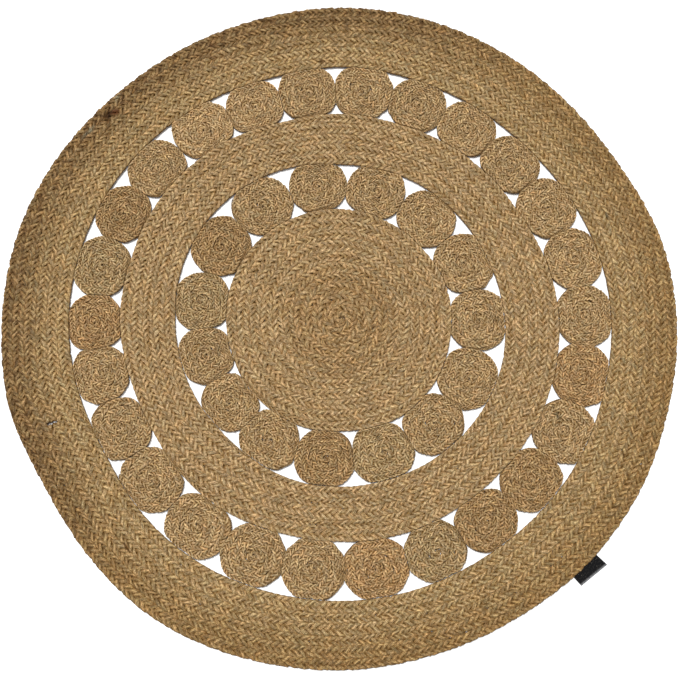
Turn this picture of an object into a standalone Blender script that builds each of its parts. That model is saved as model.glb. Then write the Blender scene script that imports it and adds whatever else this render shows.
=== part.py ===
"""Round rug of braided jute, 1.20 m across, lying flat on the floor.

A coiled centre disc is joined by a ring of 15 small coiled rosettes to a middle band. A second ring
of 26 rosettes joins that band to an outer band, whose rim carries a blank folded label. The curved
triangles left between the rosettes and the bands are open to the floor.

Origin at the centre of the underside, +Z up. All sizes in the tables are in millimetres, and
bearings are in degrees from +X towards +Y. The mesh functions turn them into metres.
"""

import math
from collections import namedtuple

import bmesh
import bpy

METRES_PER_MM = 0.001

# The braid: how thick it lies, and how its turns show as rounded ridges with seams between them.
CROWN_HEIGHT = 9.0        # top of a turn
SEAM_HEIGHT = 6.5         # bottom of the seam between two turns
GIRTH_HEIGHT = 4.5        # level at which an outer turn is widest
FOOT_INSET = 2.5          # the underside stands back this far from the widest line
CROWN_SHARE = 0.5         # a turn's crown lies at the middle of the turn
EDGE_CROWN_SHARE = 0.42   # but in a turn along an edge it lies this share of the turn from it

DISC_TURNS = 10
MIDDLE_BAND_TURNS = 5
OUTER_BAND_TURNS = 6
ROSETTE_TURNS = 3

STITCHED_GAP = 0.5        # a rosette's corners stand off the edge it is stitched to
SOFT_REACH = 3.0          # how far a rosette bulges past its round edge to meet what is close by
BAND_STEPS = 72           # corners around the disc and both bands
DISC_CORE_TURNS = 5       # inner turns of the disc, drawn with half as many corners
ROSETTE_STEPS = 24        # corners around a rosette
CLIP_HALVINGS = 24        # bisection steps that find where a ray meets an edge

# How far each edge lies from the centre at each bearing. The rug was coiled by hand, so its edges
# wander by about a braid's width.
Edges = namedtuple("Edges", "bearing disc_rim middle_inner middle_outer outer_inner outer_rim")
EDGE_TABLE = (
    Edges(0, 200, 295, 393, 487, 606),
    Edges(15, 201, 291, 390, 486, 606),
    Edges(30, 200, 290, 384, 480, 595),
    Edges(45, 199, 290, 386, 476, 597),
    Edges(60, 201, 292, 387, 478, 602),
    Edges(75, 204, 292, 387, 481, 606),
    Edges(90, 206, 291, 391, 485, 607),
    Edges(105, 207, 298, 389, 479, 602),
    Edges(120, 207, 302, 395, 482, 599),
    Edges(135, 208, 303, 398, 484, 598),
    Edges(150, 207, 302, 397, 485, 602),
    Edges(165, 206, 299, 393, 485, 605),
    Edges(180, 204, 294, 393, 483, 602),
    Edges(195, 203, 292, 386, 478, 601),
    Edges(210, 203, 290, 383, 472, 589),
    Edges(225, 203, 288, 389, 481, 596),
    Edges(240, 203, 291, 391, 486, 604),
    Edges(255, 203, 295, 388, 486, 601),
    Edges(270, 200, 295, 389, 486, 599),
    Edges(285, 201, 295, 391, 485, 596),
    Edges(300, 204, 296, 389, 482, 596),
    Edges(315, 203, 297, 389, 483, 601),
    Edges(330, 202, 298, 392, 485, 603),
    Edges(345, 200, 298, 393, 484, 602),
)

# Where each rosette lies, and how wide it was coiled before its neighbours pressed it flat.
Rosette = namedtuple("Rosette", "bearing distance diameter")
INNER_ROSETTES = (
    Rosette(0, 247, 114),
    Rosette(25, 246, 112),
    Rosette(50, 245, 110),
    Rosette(74.75, 248, 110),
    Rosette(99.25, 254, 107),
    Rosette(124, 255, 113),
    Rosette(148, 255, 112),
    Rosette(172.75, 250, 108),
    Rosette(195.25, 247, 105),
    Rosette(217.75, 243, 105),
    Rosette(240.25, 249, 106),
    Rosette(263.75, 249, 108),
    Rosette(287.25, 249, 112),
    Rosette(311, 248, 111),
    Rosette(335, 250, 111),
)
OUTER_ROSETTES = (
    Rosette(1, 440, 112),
    Rosette(15, 439, 112),
    Rosette(29, 433, 113),
    Rosette(43, 430, 112),
    Rosette(57, 432, 111),
    Rosette(70.5, 434, 109),
    Rosette(84.5, 438, 113),
    Rosette(98, 436, 113),
    Rosette(111.5, 434, 109),
    Rosette(125.5, 439, 114),
    Rosette(140, 439, 111),
    Rosette(153.75, 440, 105),
    Rosette(167.5, 440, 111),
    Rosette(181, 438, 106),
    Rosette(193.25, 434, 106),
    Rosette(207, 429, 111),
    Rosette(221, 432, 114),
    Rosette(236, 437, 115),
    Rosette(250, 438, 111),
    Rosette(264, 437, 109),
    Rosette(278, 437, 112),
    Rosette(292, 437, 107),
    Rosette(305.5, 433, 110),
    Rosette(319.5, 437, 112),
    Rosette(333, 440, 113),
    Rosette(347, 440, 113),
)

# The label: a woven tape folded once, its open ends under the rim and its fold lying outwards. It
# was sewn on a little askew, so one of its two sides reaches further out than the other.
LabelSide = namedtuple("LabelSide", "bearing reach")
LABEL_SIDES = (
    LabelSide(311.7, 619.5),
    LabelSide(317.0, 626.5),
)
LABEL_THICKNESS = 1.2     # two layers of tape
LABEL_FOLD_THICKNESS = 1.9
LABEL_TUCK = 0.8          # how far it reaches under the rounded rim
LABEL_TAPER_SHARE = 0.4   # the layers part this share of the way from the rim to the fold
FOLD_ROUND_SHARE = 0.3    # of the fold's thickness, by which its rounded nose reaches out
FOLD_FOOT_SHARE = 0.2     # heights on the nose, as shares of the fold's thickness
FOLD_NOSE_SHARE = 0.5
FOLD_BROW_SHARE = 0.9

JUTE_COLOUR = (0.36, 0.24, 0.12)
ROSETTE_COLOUR = (0.33, 0.21, 0.10)
TAPE_COLOUR = (0.012, 0.012, 0.013)
JUTE_ROUGHNESS = 0.85
TAPE_ROUGHNESS = 0.6
SHARP_ANGLE = 50.0        # degrees; edges that turn by more than this are shaded sharp


def clear_scene():
    for old in list(bpy.data.objects):
        bpy.data.objects.remove(old, do_unlink=True)


def plain_material(name, colour, roughness):
    material = bpy.data.materials.new(name)
    material.use_nodes = True
    shader = material.node_tree.nodes["Principled BSDF"]
    shader.inputs["Base Color"].default_value = (*colour, 1.0)
    shader.inputs["Roughness"].default_value = roughness
    shader.inputs["Metallic"].default_value = 0.0
    material.diffuse_color = (*colour, 1.0)
    return material


def smooth_edge(edge, bearing):
    """Distance of an edge at a bearing: a smooth closed curve through the table's rows."""
    spacing = 360.0 / len(EDGE_TABLE)
    row, share = divmod((bearing % 360.0) / spacing, 1.0)
    before, start, end, after = (
        getattr(EDGE_TABLE[(int(row) + shift) % len(EDGE_TABLE)], edge) for shift in (-1, 0, 1, 2)
    )
    start_slope = (end - before) / 2.0
    end_slope = (after - start) / 2.0
    rise = end - start
    bend = 3.0 * rise - 2.0 * start_slope - end_slope
    twist = start_slope + end_slope - 2.0 * rise
    return start + share * (start_slope + share * (bend + share * twist))


def cornered_edge(edge, bearing):
    """The same edge as the solids have it: straight chords between BAND_STEPS corners."""
    step = 360.0 / BAND_STEPS
    corner = math.floor(bearing / step)
    near = smooth_edge(edge, corner * step)
    far = smooth_edge(edge, (corner + 1) * step)
    turned = math.radians(bearing - corner * step)
    left = math.radians((corner + 1) * step - bearing)
    return near * far * math.sin(math.radians(step)) / (near * math.sin(turned) + far * math.sin(left))


def add_ring(mesh, point_at, steps, height, first_bearing=0.0):
    """One closed ring of corners at one height; point_at gives x, y in mm for a bearing."""
    ring = []
    for index in range(steps):
        x, y = point_at(first_bearing + 360.0 * index / steps)
        ring.append(mesh.verts.new((x * METRES_PER_MM, y * METRES_PER_MM, height * METRES_PER_MM)))
    return ring


def bridge_rings(mesh, ring, other):
    """Faces between two rings, of which the first may have twice as many corners."""
    ratio = len(ring) // len(other)
    for index in range(len(other)):
        after = (index + 1) % len(other)
        arc = [ring[(index * ratio + shift) % len(ring)] for shift in range(ratio + 1)]
        if ratio == 1:
            mesh.faces.new((arc[0], arc[1], other[after], other[index]))
        else:
            mesh.faces.new((arc[0], arc[1], other[index]))
            mesh.faces.new((arc[1], other[after], other[index]))
            mesh.faces.new((arc[1], arc[2], other[after]))


def finish_object(name, mesh, material):
    bmesh.ops.recalc_face_normals(mesh, faces=mesh.faces)
    data = bpy.data.meshes.new(name)
    mesh.to_mesh(data)
    mesh.free()
    data.materials.append(material)
    data.shade_smooth()
    data.set_sharp_from_angle(angle=math.radians(SHARP_ANGLE))
    piece = bpy.data.objects.new(name, data)
    bpy.context.scene.collection.objects.link(piece)
    return piece


def coiled_disc(name, centre, edge_at, turns, core_turns, steps, material, first_bearing=0.0):
    """A flat coil: a closed solid with a flat underside and a rounded ridge for each turn.

    edge_at gives the distance of the edge from the coil's own centre, in mm, for a bearing. The
    core_turns innermost turns have half the corners, and the last crown is a single point.
    """
    mesh = bmesh.new()

    def ring_at(share, corners, height, inset=0.0):
        return add_ring(mesh, at_share(share, inset), corners, height, first_bearing)

    def at_share(share, inset=0.0):
        def point(bearing):
            distance = (edge_at(bearing) - inset) * share
            angle = math.radians(bearing)
            return centre[0] + distance * math.cos(angle), centre[1] + distance * math.sin(angle)
        return point

    foot = ring_at(1.0, steps, 0.0, FOOT_INSET)
    mesh.faces.new(foot)
    girth = ring_at(1.0, steps, GIRTH_HEIGHT)
    bridge_rings(mesh, foot, girth)
    last = girth
    for turn in range(turns, 1, -1):
        ring_steps = steps if turn > core_turns else steps // 2
        crown_share = (turn - (EDGE_CROWN_SHARE if turn == turns else CROWN_SHARE)) / turns
        crown = ring_at(crown_share, ring_steps, CROWN_HEIGHT)
        bridge_rings(mesh, last, crown)
        seam = ring_at((turn - 1) / turns, ring_steps, SEAM_HEIGHT)
        bridge_rings(mesh, crown, seam)
        last = seam
    top = mesh.verts.new((centre[0] * METRES_PER_MM, centre[1] * METRES_PER_MM,
                          CROWN_HEIGHT * METRES_PER_MM))
    for index, corner in enumerate(last):
        mesh.faces.new((corner, last[(index + 1) % len(last)], top))
    return finish_object(name, mesh, material)


def coiled_band(name, inner_edge, outer_edge, turns, material):
    """A flat ring of braid laid round and round between two wandering edges."""
    mesh = bmesh.new()

    def at_share(share, inset=0.0):
        def point(bearing):
            inner = smooth_edge(inner_edge, bearing)
            outer = smooth_edge(outer_edge, bearing)
            distance = inner + (outer - inner) * share + inset
            angle = math.radians(bearing)
            return distance * math.cos(angle), distance * math.sin(angle)
        return point

    section = [(at_share(0.0, FOOT_INSET), 0.0), (at_share(0.0), GIRTH_HEIGHT)]
    for turn in range(turns):
        crown_share = (turn + CROWN_SHARE) / turns
        if turn == 0:
            crown_share = EDGE_CROWN_SHARE / turns
        if turn == turns - 1:
            crown_share = 1.0 - EDGE_CROWN_SHARE / turns
        section.append((at_share(crown_share), CROWN_HEIGHT))
        if turn < turns - 1:
            section.append((at_share((turn + 1) / turns), SEAM_HEIGHT))
    section += [(at_share(1.0), GIRTH_HEIGHT), (at_share(1.0, -FOOT_INSET), 0.0)]

    rings = [add_ring(mesh, point_at, BAND_STEPS, height) for point_at, height in section]
    for index, ring in enumerate(rings):
        bridge_rings(mesh, ring, rings[(index + 1) % len(rings)])
    return finish_object(name, mesh, material)


def place_of(rosette):
    angle = math.radians(rosette.bearing)
    return rosette.distance * math.cos(angle), rosette.distance * math.sin(angle)


def pressed_edge(rosette, neighbours, inner_edge, outer_edge):
    """How far a rosette reaches at each bearing.

    It is round where it is free. Where something is close by it is pressed flat against that, or
    bulges out to it by up to SOFT_REACH.
    """
    centre = place_of(rosette)
    radius = rosette.diameter / 2.0
    bulged = radius + SOFT_REACH

    def is_free(distance, angle):
        x = centre[0] + distance * math.cos(angle)
        y = centre[1] + distance * math.sin(angle)
        bearing = math.degrees(math.atan2(y, x)) % 360.0
        from_rug_centre = math.hypot(x, y)
        if from_rug_centre < cornered_edge(inner_edge, bearing) + STITCHED_GAP:
            return False
        return from_rug_centre < cornered_edge(outer_edge, bearing) - STITCHED_GAP

    def reach(bearing):
        angle = math.radians(bearing)
        distance = bulged
        for neighbour in neighbours:
            away = [other - own for other, own in zip(place_of(neighbour), centre)]
            spacing = math.hypot(*away)
            other_radius = neighbour.diameter / 2.0
            # Two pressed circles meet on the line through the points where they would cross.
            shared_line = (spacing ** 2 + radius ** 2 - other_radius ** 2) / (2.0 * spacing)
            toward = (math.cos(angle) * away[0] + math.sin(angle) * away[1]) / spacing
            if toward > 0.0:
                distance = min(distance, (shared_line - STITCHED_GAP / 2.0) / toward)
        if is_free(distance, angle):
            return radius if distance == bulged else distance
        shortest, longest = 0.0, distance
        for _ in range(CLIP_HALVINGS):
            middle = (shortest + longest) / 2.0
            if is_free(middle, angle):
                shortest = middle
            else:
                longest = middle
        return shortest

    return reach


def ring_of_rosettes(prefix, rosettes, inner_edge, outer_edge, material):
    for index, rosette in enumerate(rosettes):
        neighbours = (rosettes[index - 1], rosettes[(index + 1) % len(rosettes)])
        edge_at = pressed_edge(rosette, neighbours, inner_edge, outer_edge)
        coiled_disc(f"{prefix}_{index + 1:02d}", place_of(rosette), edge_at, ROSETTE_TURNS,
                    ROSETTE_TURNS - 1, ROSETTE_STEPS, material, rosette.bearing)


def folded_label(material):
    """A short folded tape: thin where it goes under the rim, rounded at its outer fold."""
    mesh = bmesh.new()
    fold = LABEL_FOLD_THICKNESS
    ends = []
    for side in LABEL_SIDES:
        root = smooth_edge("outer_rim", side.bearing) - LABEL_TUCK
        section = (
            (root, 0.0),
            (side.reach - fold, 0.0),
            (side.reach - FOLD_ROUND_SHARE * fold, FOLD_FOOT_SHARE * fold),
            (side.reach, FOLD_NOSE_SHARE * fold),
            (side.reach - FOLD_ROUND_SHARE * fold, FOLD_BROW_SHARE * fold),
            (side.reach - fold, fold),
            (root + LABEL_TAPER_SHARE * (side.reach - root), LABEL_THICKNESS),
            (root, LABEL_THICKNESS),
        )
        angle = math.radians(side.bearing)
        end = [
            mesh.verts.new((distance * math.cos(angle) * METRES_PER_MM,
                            distance * math.sin(angle) * METRES_PER_MM,
                            height * METRES_PER_MM))
            for distance, height in section
        ]
        mesh.faces.new(end)
        ends.append(end)
    for index in range(len(ends[0])):
        after = (index + 1) % len(ends[0])
        mesh.faces.new((ends[0][index], ends[0][after], ends[1][after], ends[1][index]))
    return finish_object("label", mesh, material)


def build_rug():
    clear_scene()
    jute = plain_material("braided_jute", JUTE_COLOUR, JUTE_ROUGHNESS)
    rosette_jute = plain_material("rosette_jute", ROSETTE_COLOUR, JUTE_ROUGHNESS)
    tape = plain_material("label_tape", TAPE_COLOUR, TAPE_ROUGHNESS)
    coiled_disc("centre_disc", (0.0, 0.0), lambda bearing: smooth_edge("disc_rim", bearing),
                DISC_TURNS, DISC_CORE_TURNS, BAND_STEPS, jute)
    ring_of_rosettes("inner_rosette", INNER_ROSETTES, "disc_rim", "middle_inner", rosette_jute)
    coiled_band("middle_band", "middle_inner", "middle_outer", MIDDLE_BAND_TURNS, jute)
    ring_of_rosettes("outer_rosette", OUTER_ROSETTES, "middle_outer", "outer_inner", rosette_jute)
    coiled_band("outer_band", "outer_inner", "outer_rim", OUTER_BAND_TURNS, jute)
    folded_label(tape)


build_rug()
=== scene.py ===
"""A round rug of braided jute lying on a pale floor.

The rug is put together here as it is made: a coiled centre disc, two rings of small coiled rosettes,
the middle band between them, the outer band, and a folded label under the rim. Every coil is laid
from real five-strand braid inside the edges of its own solid in the frame.
"""

import math
from collections import namedtuple

import bpy
import numpy as np
from mathutils import Matrix, Vector


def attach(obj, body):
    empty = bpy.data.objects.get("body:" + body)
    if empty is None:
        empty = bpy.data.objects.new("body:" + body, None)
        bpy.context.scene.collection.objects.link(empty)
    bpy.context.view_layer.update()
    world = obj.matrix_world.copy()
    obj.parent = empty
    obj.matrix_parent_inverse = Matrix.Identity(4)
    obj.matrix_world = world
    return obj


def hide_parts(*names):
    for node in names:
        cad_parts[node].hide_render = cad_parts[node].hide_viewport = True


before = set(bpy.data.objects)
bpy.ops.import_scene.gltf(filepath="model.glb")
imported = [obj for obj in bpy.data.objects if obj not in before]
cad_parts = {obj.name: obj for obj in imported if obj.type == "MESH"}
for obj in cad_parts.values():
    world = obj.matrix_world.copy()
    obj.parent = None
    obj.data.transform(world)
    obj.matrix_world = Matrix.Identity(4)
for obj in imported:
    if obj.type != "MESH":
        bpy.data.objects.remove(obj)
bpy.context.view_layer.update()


# ---- The view -------------------------------------------------------------------------------
# The rug seen from nearly straight above, by someone who stands at its lower edge and looks down
# at a spot a little below the middle.
VIEW_FROM = Vector((-0.0234, -0.3219, 1.5818))
VIEW_TO = Vector((-0.0004, -0.0380, 0.0070))
FRAME_PIXELS = 680
FOCAL_PIXELS = 900
SENSOR_WIDTH = 36.0

camera_data = bpy.data.cameras.new("view")
camera_data.sensor_width = SENSOR_WIDTH
camera_data.lens = SENSOR_WIDTH * FOCAL_PIXELS / FRAME_PIXELS
camera = bpy.data.objects.new("view", camera_data)
camera.location = VIEW_FROM
forward = (VIEW_TO - VIEW_FROM).normalized()
rightward = forward.cross(Vector((0.0, 1.0, 0.0))).normalized()
upward = rightward.cross(forward)
camera.rotation_euler = Matrix((rightward, upward, -forward)).transposed().to_euler()
bpy.context.scene.collection.objects.link(camera)
bpy.context.scene.camera = camera


# ---- The centre disc ------------------------------------------------------------------------
# Six and a half metres of flat five-strand jute braid, coiled from the middle outwards and sewn
# turn to turn from the side, so that no thread shows. The last turn runs out thin along the rim.

# The braid. Each strand comes in over two others from the edge to the middle, and passes under
# the next two on its way out again.
STRANDS = 5
STRAND_SWING = 0.84          # of the braid's half width, to either side of its middle
STRAND_TURN = 0.60           # close to 1 a strand runs straight and turns sharply at the edge
STRAND_RISE = 0.0016         # above and below the braid's middle level
RISE_FULLNESS = 0.70         # below 1 a strand stays on top until close to the edge
STRAND_HALF_WIDTH = 0.36     # of the braid's half width
STRAND_HALF_DEPTH = 0.0029
THINNEST_DEPTH = 0.5         # of its full depth, which a strand keeps where the braid runs out
EDGE_SWELL = 0.30            # how much thicker a strand is at the edge, where nothing presses it
EDGE_PAINTED_LIGHT = 0.40            # how much of a float's painted light a strand keeps as it turns at the edge
EDGE_POWER = 4               # the higher, the closer to the edge that swell and painted light are held
FLOAT_END_PAINTED_LIGHT = 0.38            # how much painted light is left where a strand dives: painted shade under the others
FLOAT_OVERLAP = 0.60         # how far past the crossing a float still keeps its painted light
STRAND_ROLL = 0.30           # radians that a strand leans outwards over the braid's shoulder
MIDDLE_LEVEL = 0.0045        # half the thickness of the rug
SLUB = 0.24                  # how unevenly thick the hand-drawn strands are
SLUB_STRETCH = 0.015
STRAY = 0.22                 # of the half width, by which a strand lies beside its true way
STRAY_UP = 0.0007
STRAY_STRETCH = 0.011
TENSION_SLIP = 0.45          # radians of plait gained or lost where the braid was pulled harder
TENSION_STRETCH = 0.15

# A strand's section: how far out and up each corner is, in half widths and half depths, and how much
# shade is painted on it for lying down in the furrow beside the strand, from 0 on the crest to 1. The
# wide braid's strand shows three yarns on its upper side.
SectionCorner = namedtuple("SectionCorner", "wide deep dip")
WIDE_SECTION = (
    SectionCorner(1.0, -0.20, 1.0),
    SectionCorner(0.72, 0.66, 0.10),
    SectionCorner(0.36, 0.58, 0.32),
    SectionCorner(0.0, 1.0, 0.0),
    SectionCorner(-0.36, 0.58, 0.32),
    SectionCorner(-0.72, 0.66, 0.10),
    SectionCorner(-1.0, -0.20, 1.0),
    SectionCorner(0.0, -1.0, 1.0),
)
SECTION_FACE = 0.003         # around a strand, from one corner of its section to the next

# A kind of braid: its way is how far a strand goes along it, from one edge to the other and back,
# and in each way a strand has so many sections.
Braid = namedtuple("Braid", "way sections section")
WIDE_BRAID = Braid(0.055, 10, WIDE_SECTION)

# The jute comes in drawn-out slivers of unlike colour, so a strand turns lighter and darker, and
# redder and greener, along its way.
TONE_SWING = 0.14
TONE_STRETCH = 0.011
HUE_SWING = (0.06, 0.0, -0.09)
HUE_STRETCH = 0.030
STRAND_FIBRES_APART = 1.7    # metres, from the end of a strand's fibres to the next strand's

# The coil.
EDGE_STEP = 0.5              # degrees
EDGE_SMOOTHING = 4.0         # degrees
TURN_STEPS = 720
THINNEST_END = 0.05          # a braid runs out where it is this share of its full width
SOLID_EDGE = 0.0003          # how exactly a corner of a solid lies on its widest line
PRESSED_OUT = 0.00012        # by which the loops fill the seam beyond the solid's edge
ROWS_LOCK = 0.20             # of a braid's half width, by which each row's loops lie in the next
PRESSED_SHARE = 0.22         # of a braid's half width, within which its loops are pressed flat
LOBE_SHARE = 0.85            # of a strand's half width, kept inside the rim where it turns freely
ROW_WOBBLE = 0.12            # of a row, by which the seams between rows wander
WOBBLE_STRETCH = 0.22        # of a turn
WOBBLE_SEEDS = 1 << 30
CLOCKWISE = -1               # seen from above, as every coil goes on its way out
CENTRE = np.zeros(2)
WAVE_LENGTHS = (1.0, 1.62, 2.9)

DISC_SEED = 11
DISC_ROWS = 10.4
DISC_SLIP_BEARING = 236.0
DISC_SLIP_TURN = 0.22


def girth_corners(node):
    """The corners of a node's solid on its widest line, as x and y."""
    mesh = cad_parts[node].data
    places = np.empty(3 * len(mesh.vertices), np.float32)
    mesh.vertices.foreach_get("co", places)
    places = places.reshape(-1, 3)
    return places[np.abs(places[:, 2] - MIDDLE_LEVEL) < SOLID_EDGE, :2].astype(float)


def edge_through(corners, centre):
    """Distance of an edge from a centre as a function of bearing, smoothed over a few degrees."""
    away = corners - centre
    bearings = np.degrees(np.arctan2(away[:, 1], away[:, 0]))
    every = np.arange(0.0, 360.0, EDGE_STEP)
    distances = np.interp(every, bearings, np.hypot(away[:, 0], away[:, 1]), period=360.0)
    window = np.hanning(2 * int(EDGE_SMOOTHING / EDGE_STEP) + 3)
    reach = len(window) // 2
    around = np.concatenate((distances[-reach:], distances, distances[:reach]))
    smooth = np.convolve(around, window / window.sum(), mode="valid")
    return lambda bearing: np.interp(bearing, every, smooth, period=360.0)


def middle_point(bearing):
    """The inner edge of a coil that begins in its middle."""
    return np.zeros_like(bearing)


def eased(share):
    """0 below 0, 1 above 1, and a smooth rise between."""
    share = np.clip(share, 0.0, 1.0)
    return share * share * (3.0 - 2.0 * share)


def wander(along, chance, stretch):
    """The slow unevenness of hand work: a wave between -1 and 1 that hardly repeats."""
    waves = [np.sin(2.0 * np.pi * along / (stretch * longer) + chance.uniform(0.0, 2.0 * np.pi))
             for longer in WAVE_LENGTHS]
    return sum(waves) / len(waves)


# Where a braid runs, point by point: its middle, the direction across it, its half width, and how
# far its loops may reach to either side before they are pressed flat. At the rug's own rim they
# turn freely, as round lobes.
BraidWay = namedtuple("BraidWay", "middle across half_width room_in room_out at_rim")


def coil_way(centre, inner_edge, outer_edge, rows, slip_bearing, slip_turn, spiral, chance,
             free_rim=False):
    """The way of a braid that is coiled between two edges.

    The rows are counted in from the outer edge. In each turn the braid steps out by its own width,
    over slip_turn of a turn about slip_bearing, or evenly where a spiral is close to its middle.
    """
    turns = math.ceil(rows)
    wobble_seed = chance.integers(WOBBLE_SEEDS)

    def share_out(wound):
        whole = np.floor(wound)
        part = wound - whole
        stepped = eased((part - 0.5) / slip_turn + 0.5)
        if spiral:
            stepped = part + (stepped - part) * np.clip(wound / turns, 0.0, 1.0)
        share = np.clip(1.0 - (turns - whole - stepped) / rows, 0.0, 1.0)
        wobble = wander(wound, np.random.default_rng(wobble_seed), WOBBLE_STRETCH)
        return share + ROW_WOBBLE / rows * wobble * eased(rows * np.minimum(share, 1.0 - share))

    wound = np.arange(0.0, turns + 1.0, 1.0 / TURN_STEPS)
    bearing = slip_bearing + CLOCKWISE * 360.0 * (wound - 0.5)
    inner, outer = inner_edge(bearing), outer_edge(bearing)
    near = inner + (outer - inner) * share_out(wound - 1.0)
    far = inner + (outer - inner) * share_out(wound)
    between = (near + far) / 2.0
    half_width = (far - near) / 2.0
    reach = (1.0 + ROWS_LOCK) * half_width
    room_in = np.minimum(reach, between - inner + PRESSED_OUT)
    room_out = np.minimum(reach, outer - between + PRESSED_OUT)
    across = np.stack((np.cos(np.radians(bearing)), np.sin(np.radians(bearing))), axis=1)
    middle = centre + across * between[:, None]
    laid = 2.0 * half_width > THINNEST_END * (outer - inner) / rows
    at_rim = (outer - far < half_width) * float(free_rim)
    return BraidWay(*(values[laid] for values in (middle, across, half_width, room_in, room_out, at_rim)))


# A braid's way at each of its stops, where every strand has a section: how far the plait has gone
# as an angle, how far the braid has run, its middle, the direction across it, its half width, that
# width against its usual one, its room to either side, and how far out a strand may swing.
BraidStops = namedtuple("BraidStops", "angle run row across width full room_in room_out swing_out")


def stops_along(way, braid, chance):
    """The stops of a braid along its way, with the same share of the plait from each to the next."""
    steps = np.linalg.norm(np.diff(way.middle, axis=0), axis=1)
    along = np.concatenate(((0.0,), np.cumsum(steps)))
    plait = 2.0 * np.pi * along / braid.way
    plait = plait + TENSION_SLIP * wander(along, chance, TENSION_STRETCH)
    angle = np.arange(plait[0], plait[-1], 2.0 * np.pi / braid.sections)

    def at_stops(values):
        return np.interp(angle, plait, values)

    row = np.stack((at_stops(way.middle[:, 0]), at_stops(way.middle[:, 1])), axis=1)
    across = np.stack((at_stops(way.across[:, 0]), at_stops(way.across[:, 1])), axis=1)
    width = at_stops(way.half_width)
    full = width / np.median(width)
    room_in, room_out = at_stops(way.room_in), at_stops(way.room_out)
    lobe_swing = (room_out - LOBE_SHARE * STRAND_HALF_WIDTH * width) / width
    swing_out = np.where(at_stops(way.at_rim) > 0.5, np.minimum(lobe_swing, STRAND_SWING), STRAND_SWING)
    return BraidStops(angle, at_stops(along), row, across, width, full, room_in, room_out, swing_out)


def pressed(reach, room, soft):
    """A reach that is squeezed to stay within its room, over the last soft stretch of it."""
    over = np.maximum(reach - (room - soft), 0.0)
    return np.minimum(reach, room - soft) + soft * np.tanh(over / soft)


def strand_tube(middle, half_width, half_depth, roll, section):
    """A strand swept along its middle line: its corners, section by section."""
    forward = np.gradient(middle, axis=0)
    forward /= np.linalg.norm(forward, axis=1)[:, None]
    side = np.cross(forward, (0.0, 0.0, 1.0))
    side /= np.linalg.norm(side, axis=1)[:, None]
    up = np.cross(side, forward)
    leaned_side = side * np.cos(roll)[:, None] + up * np.sin(roll)[:, None]
    leaned_up = up * np.cos(roll)[:, None] - side * np.sin(roll)[:, None]
    wide = np.array([corner.wide for corner in section])
    deep = np.array([corner.deep for corner in section])
    corners = (middle[:, None, :]
               + (half_width[:, None] * wide)[:, :, None] * leaned_side[:, None, :]
               + (half_depth[:, None] * deep)[:, :, None] * leaned_up[:, None, :])
    corners[:, :, 2] = np.maximum(corners[:, :, 2], 0.0)
    return corners


def plaited_strand(stops, number, braid, chance):
    """One strand of a braid: its corners, and the light painted on each of its sections."""
    angle = stops.angle + 2.0 * np.pi * number / STRANDS
    turned = np.arcsin(STRAND_TURN * np.sin(angle)) / math.asin(STRAND_TURN)
    swing = np.where(turned > 0.0, stops.swing_out, STRAND_SWING)
    swing = swing * stops.width * turned
    over = -np.sin(2.0 * angle)
    rise = STRAND_RISE * np.sign(over) * np.abs(over) ** RISE_FULLNESS * np.minimum(1.0, stops.full)
    swing = swing + STRAY * stops.width * wander(stops.run, chance, STRAY_STRETCH)
    rise = rise + STRAY_UP * wander(stops.run, chance, STRAY_STRETCH)
    level = (MIDDLE_LEVEL + rise)[:, None]
    line = np.concatenate((stops.row + stops.across * swing[:, None], level), axis=1)
    thick = 1.0 + SLUB * wander(stops.run, chance, SLUB_STRETCH)
    roll = STRAND_ROLL * np.sin(angle) * over
    swell = 1.0 + EDGE_SWELL * np.sin(angle) ** EDGE_POWER
    depth = STRAND_HALF_DEPTH * thick * swell * np.clip(stops.full, THINNEST_DEPTH, 1.0)
    spread = STRAND_HALF_WIDTH * stops.width * thick
    tube = strand_tube(line, spread, depth, roll, braid.section)

    # The loops are pressed flat by the rows on either side.
    across = stops.across[:, None, :]
    soft = PRESSED_SHARE * stops.width[:, None]
    reach = ((tube[:, :, :2] - stops.row[:, None, :]) * across).sum(axis=2)
    held = pressed(reach, stops.room_out[:, None], soft)
    held = -pressed(-held, stops.room_in[:, None], soft)
    tube[:, :, :2] += (held - reach)[:, :, None] * across

    light = np.clip((over + FLOAT_OVERLAP) / (1.0 + FLOAT_OVERLAP), 0.0, 1.0)
    light = np.maximum(light, EDGE_PAINTED_LIGHT * np.sin(angle) ** EDGE_POWER)
    return tube, FLOAT_END_PAINTED_LIGHT + (1.0 - FLOAT_END_PAINTED_LIGHT) * light


def strand_skin(sections, corners):
    """The four-sided faces of a strand of so many sections, and of its two ends."""
    section, corner = np.meshgrid(np.arange(sections - 1), np.arange(corners), indexing="ij")
    here = section * corners
    after = (corner + 1) % corners
    skin = np.stack((here + corner, here + after, here + after + corners,
                     here + corner + corners), axis=-1).reshape(-1, 4)
    first_end = np.array([(odd + 2, odd + 1, odd, 0) for odd in range(1, corners - 2, 2)])
    last_end = (sections - 1) * corners + first_end[:, ::-1]
    return np.concatenate((skin, first_end, last_end))


def fibre_places(lengths, corners):
    """Where each face corner of a strand's skin lies among its fibres: along it and around it."""
    around = np.arange(corners) * SECTION_FACE
    here, round_here = np.meshgrid(lengths[:-1], around, indexing="ij")
    there = here + np.diff(lengths)[:, None]
    round_there = round_here + SECTION_FACE
    skin = np.stack((here, round_here, here, round_there, there, round_there, there, round_here),
                    axis=-1).reshape(-1, 4, 2)
    ends = np.zeros((corners - 2, 4, 2))
    ends[:, :, 0] = lengths[0]
    return np.concatenate((skin, ends))


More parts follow.
